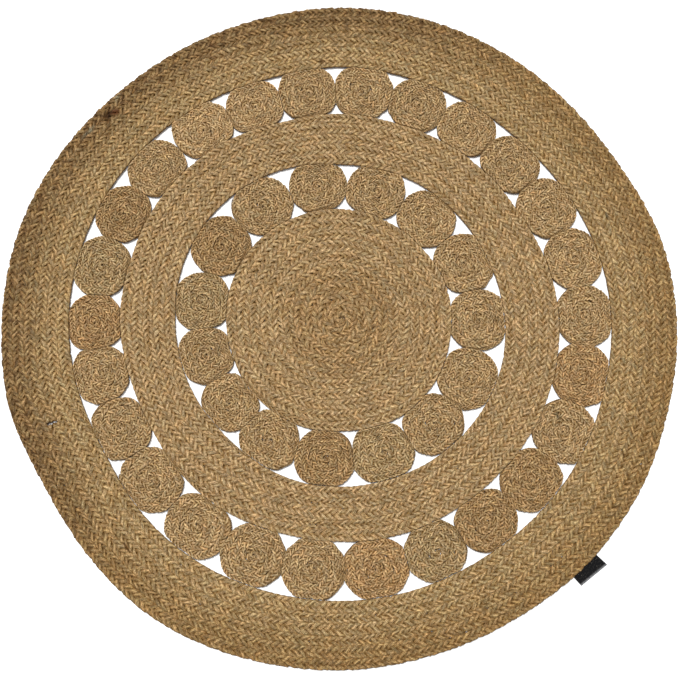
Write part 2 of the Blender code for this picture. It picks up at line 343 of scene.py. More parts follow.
def braid_along(name, way, braid, chance, material, tint_at):
    """A mesh object of flat braid laid along its way, with its fibres, tints and painted shade."""
    crest = 1.0 - np.array([corner.dip for corner in braid.section])
    section_corners = len(braid.section)
    stops = stops_along(way, braid, chance)
    sections = len(stops.run)
    corners, faces, fibre_corners, tones, painted_shades = [], [], [], [], []
    fibre_start = 0.0
    for number in range(STRANDS):
        tube, light = plaited_strand(stops, number, braid, chance)
        corners.append(tube.reshape(-1, 3))
        faces.append(strand_skin(sections, section_corners) + number * sections * section_corners)
        fibre_corners.append(fibre_places(fibre_start + stops.run, section_corners))
        fibre_start += stops.run[-1] + STRAND_FIBRES_APART
        tone = 1.0 + TONE_SWING * wander(stops.run, chance, TONE_STRETCH)
        hue = 1.0 + np.outer(wander(stops.run, chance, HUE_STRETCH), HUE_SWING)
        tones.append(np.repeat(tone[:, None] * hue, section_corners, axis=0))
        # The painted shade: dark down the sides of each strand and where it dives under the others.
        painted_shades.append(1.0 - np.outer(light, crest).ravel())
    corners = np.concatenate(corners)
    mesh = bpy.data.meshes.new(name)
    mesh.from_pydata(corners, [], np.concatenate(faces))
    mesh.update()
    mesh.shade_smooth()
    fibres = mesh.uv_layers.new(name="fibres")
    fibres.data.foreach_set("uv", np.concatenate(fibre_corners).astype(np.float32).ravel())
    tint = mesh.color_attributes.new("tint", "FLOAT_COLOR", "POINT")
    colours = np.ones((len(corners), 4), np.float32)
    colours[:, :3] = tint_at(corners) * np.concatenate(tones)
    tint.data.foreach_set("color", colours.ravel())
    dip = mesh.attributes.new("dip", "FLOAT", "POINT")
    dip.data.foreach_set("value", np.concatenate(painted_shades).astype(np.float32))
    mesh.materials.append(material)
    piece = bpy.data.objects.new(name, mesh)
    bpy.context.scene.collection.objects.link(piece)
    return piece


# The steps of which the jute and the label's tape are made up. A ramp takes a value from low to
# high over to a share or shade from to_low to to_high. A fibre noise is drawn out along a strand,
# and has so many bumps in a metre along it and around it.
Ramp = namedtuple("Ramp", "low high to_low to_high")
FibreNoise = namedtuple("FibreNoise", "along around detail")


def add_node(tree, kind, **settings):
    """A new node. A setting is one of its properties or, written with _ for a space, an input."""
    node = tree.nodes.new(kind)
    for setting, value in settings.items():
        if setting in node.bl_rna.properties:
            setattr(node, setting, value)
        else:
            node.inputs[setting.replace("_", " ")].default_value = value
    return node


def feed(tree, socket, value):
    """Link a socket to the output that it is given, or else set it to a plain value."""
    if isinstance(value, bpy.types.NodeSocket):
        tree.links.new(value, socket)
    else:
        socket.default_value = value


def add_fibre_noise(tree, fibres, noise):
    stretched = add_node(tree, "ShaderNodeVectorMath", operation="MULTIPLY")
    stretched.inputs[1].default_value = (noise.along, noise.around, 1.0)
    tree.links.new(fibres, stretched.inputs[0])
    bumps = add_node(tree, "ShaderNodeTexNoise", noise_dimensions="2D", Scale=1.0, Detail=noise.detail)
    tree.links.new(stretched.outputs["Vector"], bumps.inputs["Vector"])
    return bumps.outputs["Fac"]


def add_ramp(tree, value, ramp):
    ranged = add_node(tree, "ShaderNodeMapRange", interpolation_type="SMOOTHSTEP")
    for label, number in zip(("From Min", "From Max", "To Min", "To Max"), ramp):
        ranged.inputs[label].default_value = number
    tree.links.new(value, ranged.inputs["Value"])
    return ranged.outputs["Result"]


def add_mix(tree, share, first, second, blend="MIX"):
    mixed = add_node(tree, "ShaderNodeMix", data_type="RGBA", blend_type=blend)
    feed(tree, mixed.inputs["Factor"], share)
    feed(tree, mixed.inputs[6], first)
    feed(tree, mixed.inputs[7], second)
    return mixed.outputs[2]


def add_math(tree, operation, first, second=0.0):
    step = add_node(tree, "ShaderNodeMath", operation=operation)
    feed(tree, step.inputs[0], first)
    feed(tree, step.inputs[1], second)
    return step.outputs[0]


# The jute. Long silky fibres lie along each strand; some are straw pale and some brown, shade is
# painted darker into the dips between the strands, and dark scraps of bark are left in.
JUTE_COLOURS = {
    "Straw Colour": (0.440, 0.320, 0.181),
    "Tan Colour": (0.426, 0.251, 0.114),
    "Khaki Colour": (0.381, 0.268, 0.114),
    # the colour of the shade painted into the dips
    "Painted Shade Colour": (0.120, 0.051, 0.001),
    "Bark Colour": (0.045, 0.024, 0.012),
}
YARNS_A_METRE = 166.7        # around a strand, on the scale of SECTION_FACE
YARN_DRIFT = 0.25            # of a yarn, by which they wander from their place
YARN_DRIFTING = FibreNoise(24.0, 60.0, 1.0)
YARN_CHANGES = 110.0         # of tone, in a metre of yarn
YARNS_UNLIKE = 5.37          # from one yarn's noise to the next one's
HUE_TO_TONE = 0.6            # how much less often a yarn changes its hue than its tone
KHAKI_YARN = Ramp(0.40, 0.60, 0.0, 1.0)
YARN_SHADE = Ramp(0.30, 0.70, 0.64, 1.26)

# Single fibres, the longer stretches of one shade, and the lumps of a hand-drawn yarn.
SINGLE_FIBRES = FibreNoise(60.0, 1500.0, 2.0)
PALE_FIBRE = Ramp(0.34, 0.66, 0.0, 1.0)
FIBRE_ROUGHNESS = Ramp(0.3, 0.7, 0.78, 0.52)
FIBRE_HEIGHT = 0.3           # of a yarn's roundness, by which a single fibre stands out
# the crowns of the floats, worn pale and with a painted highlight
CROWN_WEAR_AND_HIGHLIGHT = Ramp(0.0, 0.45, 0.35, 0.0)
STRETCHES = FibreNoise(13.0, 25.0, 2.0)
STRETCH_SHADE = Ramp(0.30, 0.70, 0.92, 1.07)
LUMPS_A_METRE = 360.0
LUMP_DETAIL = 3.0
LUMP_SHADE = Ramp(0.34, 0.66, 0.54, 1.28)

# The painted shade in the dips, darker by the height above the floor in metres, by how far down
# beside its strand a point is, and by how far it is from the line between two yarns.
LOW_PAINTED_SHADE = Ramp(0.0010, 0.0052, 1.0, 0.0)
SIDE_PAINTED_SHADE = Ramp(0.05, 0.75, 0.0, 0.92)
FURROW_PAINTED_SHADE = Ramp(0.02, 0.20, 1.0, 0.0)
BARK_SCRAPS = FibreNoise(95.0, 420.0, 2.0)
BARK_EDGE = Ramp(0.0, 0.05, 0.0, 1.0)


def make_jute_fibres():
    """The group that turns the jute's colours into drawn-out fibres, yarns, painted shade and bark."""
    tree = bpy.data.node_groups.new("jute_fibres", "ShaderNodeTree")
    for label in JUTE_COLOURS:
        tree.interface.new_socket(label, in_out="INPUT", socket_type="NodeSocketColor")
    for label in ("Bark Level", "Furrow Painted Shade"):
        tree.interface.new_socket(label, in_out="INPUT", socket_type="NodeSocketFloat")
    tree.interface.new_socket("Colour", in_out="OUTPUT", socket_type="NodeSocketColor")
    for label in ("Roughness", "Height"):
        tree.interface.new_socket(label, in_out="OUTPUT", socket_type="NodeSocketFloat")
    given = add_node(tree, "NodeGroupInput")
    made = add_node(tree, "NodeGroupOutput")
    fibres = add_node(tree, "ShaderNodeUVMap", uv_map="fibres").outputs["UV"]

    # Yarns lie side by side around a strand, four in the wide braid and three in the fine one,
    # with a furrow between each and the next.
    split = add_node(tree, "ShaderNodeSeparateXYZ")
    tree.links.new(fibres, split.inputs[0])
    drift = add_math(tree, "MULTIPLY", add_fibre_noise(tree, fibres, YARN_DRIFTING), YARN_DRIFT)
    counted = add_math(tree, "MULTIPLY", split.outputs["Y"], YARNS_A_METRE)
    yarn_place = add_math(tree, "ADD", counted, drift)
    yarn_round = add_math(tree, "PINGPONG", yarn_place, 0.5)
    yarn_number = add_math(tree, "FLOOR", yarn_place)
    yarn_way = add_node(tree, "ShaderNodeCombineXYZ")
    feed(tree, yarn_way.inputs["X"], add_math(tree, "MULTIPLY", split.outputs["X"], YARN_CHANGES))
    feed(tree, yarn_way.inputs["Y"], add_math(tree, "MULTIPLY", yarn_number, YARNS_UNLIKE))
    yarn_tone = add_node(tree, "ShaderNodeTexNoise", noise_dimensions="2D", Scale=1.0, Detail=1.0)
    yarn_hue = add_node(tree, "ShaderNodeTexNoise", noise_dimensions="2D", Scale=HUE_TO_TONE, Detail=1.0)
    tree.links.new(yarn_way.outputs[0], yarn_tone.inputs["Vector"])
    tree.links.new(yarn_way.outputs[0], yarn_hue.inputs["Vector"])

    # The crowns of the floats are worn pale and given a painted highlight, as pale as the palest fibres.
    single = add_fibre_noise(tree, fibres, SINGLE_FIBRES)
    painted_shade_share = add_node(tree, "ShaderNodeAttribute", attribute_name="dip").outputs["Fac"]
    pale = add_math(tree, "MAXIMUM", add_ramp(tree, single, PALE_FIBRE), add_ramp(tree, painted_shade_share, CROWN_WEAR_AND_HIGHLIGHT))
    is_khaki = add_ramp(tree, yarn_hue.outputs["Fac"], KHAKI_YARN)
    yarn_colour = add_mix(tree, is_khaki, given.outputs["Tan Colour"], given.outputs["Khaki Colour"])
    fibre_colour = add_mix(tree, pale, yarn_colour, given.outputs["Straw Colour"])

    yarn_shade = add_ramp(tree, yarn_tone.outputs["Fac"], YARN_SHADE)
    stretch_shade = add_ramp(tree, add_fibre_noise(tree, fibres, STRETCHES), STRETCH_SHADE)
    place = add_node(tree, "ShaderNodeNewGeometry").outputs["Position"]
    lumps = add_node(tree, "ShaderNodeTexNoise", noise_dimensions="3D", Scale=LUMPS_A_METRE,
                     Detail=LUMP_DETAIL)
    tree.links.new(place, lumps.inputs["Vector"])
    lump_shade = add_ramp(tree, lumps.outputs["Fac"], LUMP_SHADE)
    yarn_and_stretch = add_math(tree, "MULTIPLY", yarn_shade, stretch_shade)
    shaded = add_node(tree, "ShaderNodeVectorMath", operation="SCALE")
    tree.links.new(fibre_colour, shaded.inputs[0])
    feed(tree, shaded.inputs["Scale"], add_math(tree, "MULTIPLY", yarn_and_stretch, lump_shade))

    # The shade painted into the dips: low down near the floor, down the sides of each strand, and in the
    # furrows between yarns.
    height = add_node(tree, "ShaderNodeSeparateXYZ")
    tree.links.new(place, height.inputs[0])
    low = add_ramp(tree, height.outputs["Z"], LOW_PAINTED_SHADE)
    side = add_ramp(tree, painted_shade_share, SIDE_PAINTED_SHADE)
    painted_furrow = add_math(tree, "MULTIPLY", add_ramp(tree, yarn_round, FURROW_PAINTED_SHADE),
                      given.outputs["Furrow Painted Shade"])
    dip = add_math(tree, "MAXIMUM", add_math(tree, "MAXIMUM", low, side), painted_furrow)
    with_painted_shade = add_mix(tree, dip, shaded.outputs[0], given.outputs["Painted Shade Colour"])

    scraps = add_fibre_noise(tree, fibres, BARK_SCRAPS)
    above = add_math(tree, "SUBTRACT", scraps, given.outputs["Bark Level"])
    is_bark = add_ramp(tree, above, BARK_EDGE)
    coloured = add_mix(tree, is_bark, with_painted_shade, given.outputs["Bark Colour"])
    tint = add_node(tree, "ShaderNodeAttribute", attribute_name="tint").outputs["Color"]
    feed(tree, made.inputs["Colour"], add_mix(tree, 1.0, coloured, tint, "MULTIPLY"))
    feed(tree, made.inputs["Roughness"], add_ramp(tree, single, FIBRE_ROUGHNESS))
    stands_out = add_math(tree, "MULTIPLY", single, FIBRE_HEIGHT)
    feed(tree, made.inputs["Height"], add_math(tree, "ADD", yarn_round, stands_out))
    return tree


jute_fibres = make_jute_fibres()

JUTE_SPECULAR = 0.10
JUTE_SHEEN = 0.03
JUTE_SHEEN_ROUGHNESS = 0.4
FIBRE_RELIEF = 0.0009
FIBRE_RELIEF_STRENGTH = 0.6
BARK_LEVEL = 0.70            # the higher, the fewer scraps of bark


def jute_material(name, painted_furrow_shade):
    """Jute with shade painted into the furrow between its yarns, as dark as the given share."""
    material = bpy.data.materials.new(name)
    material.use_nodes = True
    tree = material.node_tree
    shader = tree.nodes["Principled BSDF"]
    shader.inputs["Specular IOR Level"].default_value = JUTE_SPECULAR
    shader.inputs["Sheen Weight"].default_value = JUTE_SHEEN
    shader.inputs["Sheen Roughness"].default_value = JUTE_SHEEN_ROUGHNESS
    fibres = add_node(tree, "ShaderNodeGroup", node_tree=jute_fibres)
    for label, colour in JUTE_COLOURS.items():
        fibres.inputs[label].default_value = (*colour, 1.0)
    fibres.inputs["Bark Level"].default_value = BARK_LEVEL
    fibres.inputs["Furrow Painted Shade"].default_value = painted_furrow_shade
    bump = add_node(tree, "ShaderNodeBump", Strength=FIBRE_RELIEF_STRENGTH, Distance=FIBRE_RELIEF)
    tree.links.new(fibres.outputs["Height"], bump.inputs["Height"])
    tree.links.new(fibres.outputs["Colour"], shader.inputs["Base Color"])
    tree.links.new(fibres.outputs["Roughness"], shader.inputs["Roughness"])
    tree.links.new(bump.outputs["Normal"], shader.inputs["Normal"])
    return material


# How dark the shade painted into the furrows between the wide braid's yarns is.
WIDE_FURROW_PAINTED_SHADE = 0.45
band_jute = jute_material("band_jute", WIDE_FURROW_PAINTED_SHADE)


# Scorched, russet and slate-grey flecks lie here and there on the rug. Each is fully coloured over
# its core, and fades out over the rest and a little beyond. Its lie is an angle in degrees.
Fleck = namedtuple("Fleck", "x y length width lie colour")
FLECK_CORE = 0.6             # of half its length and width
FLECK_FADE = 0.8
SLATE = (0.30, 0.36, 0.42)
PALE_SLATE = (0.80, 1.05, 1.50)
SCORCHED = (0.34, 0.25, 0.14)
RUSSET = (0.64, 0.38, 0.30)
FLECKS = (
    Fleck(0.382, -0.172, 0.015, 0.005, 92.0, SLATE),
    Fleck(0.488, 0.195, 0.016, 0.004, 100.0, SLATE),
    Fleck(0.497, -0.238, 0.010, 0.006, 60.0, SCORCHED),
    Fleck(-0.364, -0.396, 0.017, 0.005, 120.0, SCORCHED),
    Fleck(-0.116, 0.510, 0.008, 0.007, 0.0, SCORCHED),
    Fleck(-0.035, 0.497, 0.009, 0.006, 30.0, SCORCHED),
    Fleck(-0.432, 0.384, 0.026, 0.016, 45.0, SCORCHED),
    Fleck(-0.417, 0.391, 0.018, 0.010, 10.0, RUSSET),
    Fleck(-0.460, 0.356, 0.018, 0.007, 60.0, PALE_SLATE),
    Fleck(-0.471, 0.345, 0.014, 0.006, 50.0, PALE_SLATE),
    Fleck(-0.415, 0.419, 0.013, 0.006, 60.0, PALE_SLATE),
)


def flecked(corners, tint):
    """The tint with the flecks laid over it."""
    for fleck in FLECKS:
        lie = math.radians(fleck.lie)
        away = corners[:, :2] - (fleck.x, fleck.y)
        along = (away @ (math.cos(lie), math.sin(lie))) / (fleck.length / 2.0)
        beside = (away @ (-math.sin(lie), math.cos(lie))) / (fleck.width / 2.0)
        cover = 1.0 - eased((np.hypot(along, beside) - FLECK_CORE) / FLECK_FADE)
        tint = tint * (1.0 - cover[:, None] * (1.0 - np.array(fleck.colour)))
    return tint


def one_shade(shade):
    """The tint of a piece that is all of one shade but for its flecks."""
    def tint_at(corners):
        return flecked(corners, np.tile(shade, (len(corners), 1)))
    return tint_at


even_tint = one_shade((1.0, 1.0, 1.0))

# The coil was begun with a browner length.
DISC_START_SHADE = (0.90, 0.865, 0.81)
DISC_START_REACH = 0.075
DISC_START_FADE = 0.045


def disc_tint(corners):
    start = 1.0 - eased((np.hypot(corners[:, 0], corners[:, 1]) - DISC_START_REACH) / DISC_START_FADE)
    return even_tint(corners) * (1.0 - start[:, None] * (1.0 - np.array(DISC_START_SHADE)))


disc_edge = edge_through(girth_corners("centre_disc"), CENTRE)
disc_chance = np.random.default_rng(DISC_SEED)
disc_way = coil_way(CENTRE, middle_point, disc_edge, DISC_ROWS, DISC_SLIP_BEARING, DISC_SLIP_TURN,
                    True, disc_chance)
disc = braid_along("coiled_disc", disc_way, WIDE_BRAID, disc_chance, band_jute, disc_tint)
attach(disc, "root")
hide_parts("centre_disc")


# ---- The rosettes ---------------------------------------------------------------------------
# Over half a metre of a finer braid in each, with round strands, coiled four times round. They are
# pressed between their neighbours and the coils on either side, and sewn to these where they touch.
FINE_SECTION = (
    SectionCorner(1.0, -0.20, 0.86),
    SectionCorner(0.62, 0.76, 0.20),
    SectionCorner(0.0, 1.0, 0.06),
    SectionCorner(-0.62, 0.76, 0.20),
    SectionCorner(-1.0, -0.20, 0.86),
    SectionCorner(0.0, -1.0, 1.0),
)
FINE_BRAID = Braid(0.034, 8, FINE_SECTION)
# How dark the shade painted into the furrows between the fine braid's yarns is.
FINE_FURROW_PAINTED_SHADE = 0.10
ROSETTE_SEED = 100           # of the first rosette, and one more for each after it
ROSETTE_ROWS = 4.0
ROSETTE_SLIP_TURN = 0.45
ROSETTE_SHADE = (0.995, 0.985, 0.970)
ROSETTE_UNEVENNESS = 0.03    # by which each of them is lighter or darker at most
RING_DISTANCE = {"inner": 0.248, "outer": 0.437}

# Some were coiled from braid of another dye lot.
RosetteShade = namedtuple("RosetteShade", "ring bearing shade")
BROWNER = (0.90, 0.86, 0.81)
REDDER = (0.98, 0.92, 0.87)
GREYER = (0.96, 0.99, 1.00)
PALER = (1.09, 1.09, 1.10)
ROSETTE_SHADES = (
    RosetteShade("inner", 148.0, BROWNER),
    RosetteShade("inner", 172.8, GREYER),
    RosetteShade("inner", 263.8, BROWNER),
    RosetteShade("inner", 287.3, GREYER),
    RosetteShade("outer", 111.5, PALER),
    RosetteShade("outer", 125.5, PALER),
    RosetteShade("outer", 153.8, BROWNER),
    RosetteShade("outer", 167.5, GREYER),
    RosetteShade("outer", 181.0, REDDER),
    RosetteShade("outer", 278.0, REDDER),
    RosetteShade("outer", 292.0, GREYER),
    RosetteShade("outer", 305.5, BROWNER),
    RosetteShade("outer", 319.5, BROWNER),
    RosetteShade("outer", 347.0, REDDER),
)
SHADE_REACH = 0.03           # from a table row's place to the rosette that it means

rosette_jute = jute_material("rosette_jute", FINE_FURROW_PAINTED_SHADE)


def rosette_shade(centre, chance):
    shade = np.array(ROSETTE_SHADE)
    for row in ROSETTE_SHADES:
        angle = math.radians(row.bearing)
        place = RING_DISTANCE[row.ring] * np.array((math.cos(angle), math.sin(angle)))
        if np.hypot(*(place - centre)) < SHADE_REACH:
            shade = shade * np.array(row.shade)
    return shade * (1.0 + ROSETTE_UNEVENNESS * chance.uniform(-1.0, 1.0))


rosettes = sorted(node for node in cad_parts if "rosette" in node)
for number, node in enumerate(rosettes):
    chance = np.random.default_rng(ROSETTE_SEED + number)
    corners = girth_corners(node)
    centre = corners.mean(axis=0)
    edge = edge_through(corners, centre)
    way = coil_way(centre, middle_point, edge, ROSETTE_ROWS, chance.uniform(0.0, 360.0),
                   ROSETTE_SLIP_TURN, True, chance)
    tint = one_shade(rosette_shade(centre, chance))
    rosette = braid_along(f"coiled_{node}", way, FINE_BRAID, chance, rosette_jute, tint)
    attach(rosette, "root")
    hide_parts(node)


# ---- The middle band ------------------------------------------------------------------------
# Ten metres of the wide braid, laid five times round between the two rings of rosettes and sewn
# round to round from the side.
MIDDLE_SEED = 12
MIDDLE_ROWS = 5
MIDDLE_SLIP_BEARING = 228.0
MIDDLE_SLIP_TURN = 0.10


def band_edges(node):
    """The inner and outer edge of a ring-shaped node, as functions of bearing."""
    corners = girth_corners(node)
    distances = np.hypot(corners[:, 0], corners[:, 1])
    between = distances.mean()
    return (edge_through(corners[distances < between], CENTRE),
            edge_through(corners[distances > between], CENTRE))


inner_edge, outer_edge = band_edges("middle_band")
middle_chance = np.random.default_rng(MIDDLE_SEED)
middle_way = coil_way(CENTRE, inner_edge, outer_edge, MIDDLE_ROWS, MIDDLE_SLIP_BEARING,
                      MIDDLE_SLIP_TURN, False, middle_chance)
middle_band = braid_along("middle_band_rounds", middle_way, WIDE_BRAID, middle_chance, band_jute,
                          even_tint)
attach(middle_band, "root")
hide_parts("middle_band")


# ---- The outer band -------------------------------------------------------------------------
# Twenty metres of the wide braid, six times round. Its start and its end are tucked in on the left,
# and along the rim its loops turn freely.
OUTER_SEED = 13
OUTER_ROWS = 6
OUTER_SLIP_BEARING = 200.0
OUTER_SLIP_TURN = 0.055

# The rows grow darker and redder towards the rim. From the right over the top to the left the rim
# is darker still, in brown blotches.
BAND_SHADE = (0.95, 0.955, 0.91)
RIM_FADE = (0.15, 0.21, 0.31)
RIM_FADE_FROM = 0.20         # of the band's width, out from its inner edge
RIM_FADE_REACH = 0.75
UPPER_RIM_DARKENING = (0.15, 0.145, 0.11)
UPPER_RIM_FROM = 50.0           # degrees
UPPER_RIM_TO = 205.0
UPPER_RIM_SOFTNESS = 30.0
BLOTCH = (0.66, 0.74, 0.82)
BLOTCH_SEED = 14
BLOTCH_ELSEWHERE = 0.40      # of that, on the rest of the rim
BLOTCH_STRETCH = 0.008

inner_edge, outer_edge = band_edges("outer_band")


def rim_tint(corners):
    bearing = np.degrees(np.arctan2(corners[:, 1], corners[:, 0])) % 360.0
    inner, outer = inner_edge(bearing), outer_edge(bearing)
    share = (np.hypot(corners[:, 0], corners[:, 1]) - inner) / (outer - inner)
    to_rim = eased((share - RIM_FADE_FROM) / RIM_FADE_REACH)[:, None]
    on_upper_rim = (eased((bearing - UPPER_RIM_FROM) / UPPER_RIM_SOFTNESS)
                * (1.0 - eased((bearing - UPPER_RIM_TO) / UPPER_RIM_SOFTNESS)))[:, None]
    chance = np.random.default_rng(BLOTCH_SEED)
    blotch = (wander(corners[:, 0], chance, BLOTCH_STRETCH)
              + wander(corners[:, 1], chance, BLOTCH_STRETCH))[:, None]
    tint = 1.0 - to_rim * (np.array(RIM_FADE) + on_upper_rim * np.array(UPPER_RIM_DARKENING))
    tint = tint * np.array(BAND_SHADE)
    blotched = np.array(BLOTCH) * (BLOTCH_ELSEWHERE + (1.0 - BLOTCH_ELSEWHERE) * on_upper_rim) * to_rim
    return flecked(corners, tint * (1.0 - blotched * np.clip(blotch, 0.0, 1.0)))


outer_way = coil_way(CENTRE, inner_edge, outer_edge, OUTER_ROWS, OUTER_SLIP_BEARING,
                     OUTER_SLIP_TURN, False, np.random.default_rng(OUTER_SEED), free_rim=True)
half = len(outer_way.middle) // 2
for name, stretch in (("outer_band_inner_rounds", slice(None, half + 1)),
                      ("outer_band_rim_rounds", slice(half, None))):
    way = BraidWay(*(values[stretch] for values in outer_way))
    chance = np.random.default_rng(OUTER_SEED)
    rounds = braid_along(name, way, WIDE_BRAID, chance, band_jute, rim_tint)
    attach(rounds, "root")
    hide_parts("outer_band")


# ---- The label ------------------------------------------------------------------------------
# A black woven satin tape, folded once. Both of its ends are sewn in under the rim, and the fold
# lies outwards on the floor. Its face is bare.
TAPE_THICKNESS = 0.00045
TAPE_LIFT = 0.00005          # of the lower layer, off the floor
TAPE_ACROSS = 40             # steps from one selvedge to the other
TAPE_ALONG = 12              # steps from the rim to the fold, in each layer
TAPE_AROUND = 10             # steps around the fold
LAYER_RISE = 0.00028         # how much higher the upper layer lies by the fold than at the rim
TAPE_CREASE = 0.00010
CREASE_SEED = 16
CREASE_STRETCH = 0.021
CREASE_SLANT = 0.4
CREASE_GROWTH = 2.0          # how fast the creases grow from the fold to full height
CREASE_FREE = 0.3            # by the fold, in steps of that growth
TAPE_TUCK = 0.003            # how far both layers go on under the rim
RUBBED_SHEEN_REACH = 14.0          # of the fold's radius, to either side of the fold, where the rubbed, painted sheen lies
SELVEDGE_ANGLE = 60.0        # degrees, above which an edge of the tape is sharp

label_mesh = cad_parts["label"].data
label_corners = np.array([vertex.co for vertex in label_mesh.vertices])
label_heights = label_corners[:, 2]
label_reach = np.hypot(label_corners[:, 0], label_corners[:, 1])
label_bearing = np.arctan2(label_corners[:, 1], label_corners[:, 0])
label_middle = label_bearing.mean()


def label_side(is_side):
    """The label's root and fold corner on one side, as x and y."""
    corners, reach = label_corners[is_side], label_reach[is_side]
    return corners[reach.argmin(), :2], corners[reach.argmax(), :2]


first_root, first_fold = label_side(label_bearing < label_middle)
last_root, last_fold = label_side(label_bearing > label_middle)
tape_width = float(np.hypot(*(last_fold - first_fold)))
upper_level = label_heights[label_reach < label_reach.min() + TAPE_TUCK].max() - TAPE_THICKNESS / 2.0
lower_level = TAPE_THICKNESS / 2.0 + TAPE_LIFT
fold_radius = (upper_level + LAYER_RISE - lower_level) / 2.0


def tape_profile(reach):
    """The middle line of the folded tape from end to end: how far out and how high."""
    straight = np.linspace(-TAPE_TUCK, reach - fold_radius - TAPE_THICKNESS / 2.0, TAPE_ALONG)
    turning = np.linspace(-math.pi / 2.0, math.pi / 2.0, TAPE_AROUND + 2)[1:-1]
    lift = LAYER_RISE * eased(straight / straight[-1])
    out = np.concatenate((straight, straight[-1] + fold_radius * np.cos(turning), straight[::-1]))
    up = np.concatenate((np.full(TAPE_ALONG, lower_level),
                         lower_level + fold_radius * (1.0 + np.sin(turning)),
                         (upper_level + lift)[::-1]))
    return np.stack((out, up), axis=1)


def upper_crease(profile, across):
    """The height of the creases along the tape's profile, in its upper layer alone."""
    from_fold = np.abs(np.linspace(-1.0, 1.0, len(profile)))
    grown = eased(from_fold * CREASE_GROWTH - CREASE_FREE)
    slanted = across + CREASE_SLANT * profile[:, 0]
    crease = TAPE_CREASE * wander(slanted, np.random.default_rng(CREASE_SEED), CREASE_STRETCH)
    return np.where(profile[:, 1] > lower_level + fold_radius, crease * grown, 0.0)


# The tape is laid out in steps from one selvedge to the other. Each gives two rows of corners from
# end to end, one on either face.
tape_rows, tape_places, tape_fold_sheens = [], [], []
for step in range(TAPE_ACROSS + 1):
    share = step / TAPE_ACROSS
    root = first_root + share * (last_root - first_root)
    fold = first_fold + share * (last_fold - first_fold)
    reach = float(np.hypot(*(fold - root)))
    outward = (fold - root) / reach
    across = share * tape_width
    profile = tape_profile(reach)
    profile[:, 1] += upper_crease(profile, across)
    along = np.concatenate(((0.0,), np.cumsum(np.linalg.norm(np.diff(profile, axis=0), axis=1))))
    unfolded = along[-1]
    from_fold = np.abs(along - unfolded / 2.0)
    # Near the fold the tape is rubbed pale, with a painted sheen.
    fold_sheen = 1.0 - np.clip(from_fold / (RUBBED_SHEEN_REACH * fold_radius), 0.0, 1.0)
    forward_way = np.gradient(profile, axis=0)
    forward_way /= np.linalg.norm(forward_way, axis=1)[:, None]
    face_way = np.stack((forward_way[:, 1], -forward_way[:, 0]), axis=1)
    for face in (1.0, -1.0):
        line = profile + face * face_way * TAPE_THICKNESS / 2.0
        tape_rows.append([(*(root + outward * out), max(up, 0.0)) for out, up in line])
        tape_places.append([(across, distance) for distance in along])
        tape_fold_sheens.append(fold_sheen)

run_length = len(tape_rows[0])


def tape_corner(step, face, run):
    return (2 * step + face) * run_length + run


# The skins of both faces, closed along both ends and both selvedges.
tape_faces = []
for step in range(TAPE_ACROSS):
    for run in range(run_length - 1):
        for face, turn in ((0, -1), (1, 1)):
            quad = [tape_corner(step, face, run), tape_corner(step + 1, face, run),
                    tape_corner(step + 1, face, run + 1), tape_corner(step, face, run + 1)]
            tape_faces.append(quad[::turn])
    for run, turn in ((0, 1), (run_length - 1, -1)):
        quad = [tape_corner(step, 0, run), tape_corner(step + 1, 0, run),
                tape_corner(step + 1, 1, run), tape_corner(step, 1, run)]
        tape_faces.append(quad[::turn])
for step, turn in ((0, 1), (TAPE_ACROSS, -1)):
    for run in range(run_length - 1):
        quad = [tape_corner(step, 0, run), tape_corner(step, 1, run),
                tape_corner(step, 1, run + 1), tape_corner(step, 0, run + 1)]
        tape_faces.append(quad[::turn])

tape_mesh = bpy.data.meshes.new("folded_label")
tape_mesh.from_pydata([corner for row in tape_rows for corner in row], [], tape_faces)
tape_mesh.update()
tape_mesh.shade_smooth()
tape_mesh.set_sharp_from_angle(angle=math.radians(SELVEDGE_ANGLE))
weave = tape_mesh.uv_layers.new(name="weave")
flat_places = np.array([place for row in tape_places for place in row], np.float32)
loop_corners = np.empty(len(tape_mesh.loops), np.int32)
tape_mesh.loops.foreach_get("vertex_index", loop_corners)
weave.data.foreach_set("uv", flat_places[loop_corners].ravel())
fold_sheen_layer = tape_mesh.attributes.new("fold_sheen", "FLOAT", "POINT")
fold_sheen_layer.data.foreach_set("value", np.concatenate(tape_fold_sheens).astype(np.float32))

# The tape's satin: fine ribs across it, staggered floats painted a little paler as a painted sheen,
# and lint. Along the fold it is rubbed pale, with a painted sheen there too.
RIBS_A_METRE = 1900.0
FLOATS_A_METRE = 900.0
RIB_STAGGER = 0.382          # of a float, from one rib to the next
FLOAT_CATCH = Ramp(0.02, 0.22, 0.0, 1.0)
SATIN_ROUGHNESS = Ramp(0.0, 0.25, 0.62, 0.38)
SATIN_SPECULAR = 0.04
SATIN_RELIEF = 0.0002
SATIN_RELIEF_STRENGTH = 0.5
RUBBED_SHEEN_AT_FOLD = Ramp(0.25, 0.95, 0.0, 0.85)
SHEEN_RUBBING = FibreNoise(420.0, 160.0, 3.0)
SHEEN_RUBBING_SHARE = Ramp(0.30, 0.62, 0.45, 1.0)
LINT = FibreNoise(700.0, 700.0, 2.0)
LINT_SHARE = Ramp(0.70, 0.74, 0.0, 0.5)
TAPE_BLACK = (0.004, 0.004, 0.0045, 1.0)
TAPE_SHEEN = (0.011, 0.011, 0.012, 1.0)
TAPE_RUBBED_SHEEN = (0.22, 0.22, 0.225, 1.0)
TAPE_LINT = (0.30, 0.27, 0.22, 1.0)

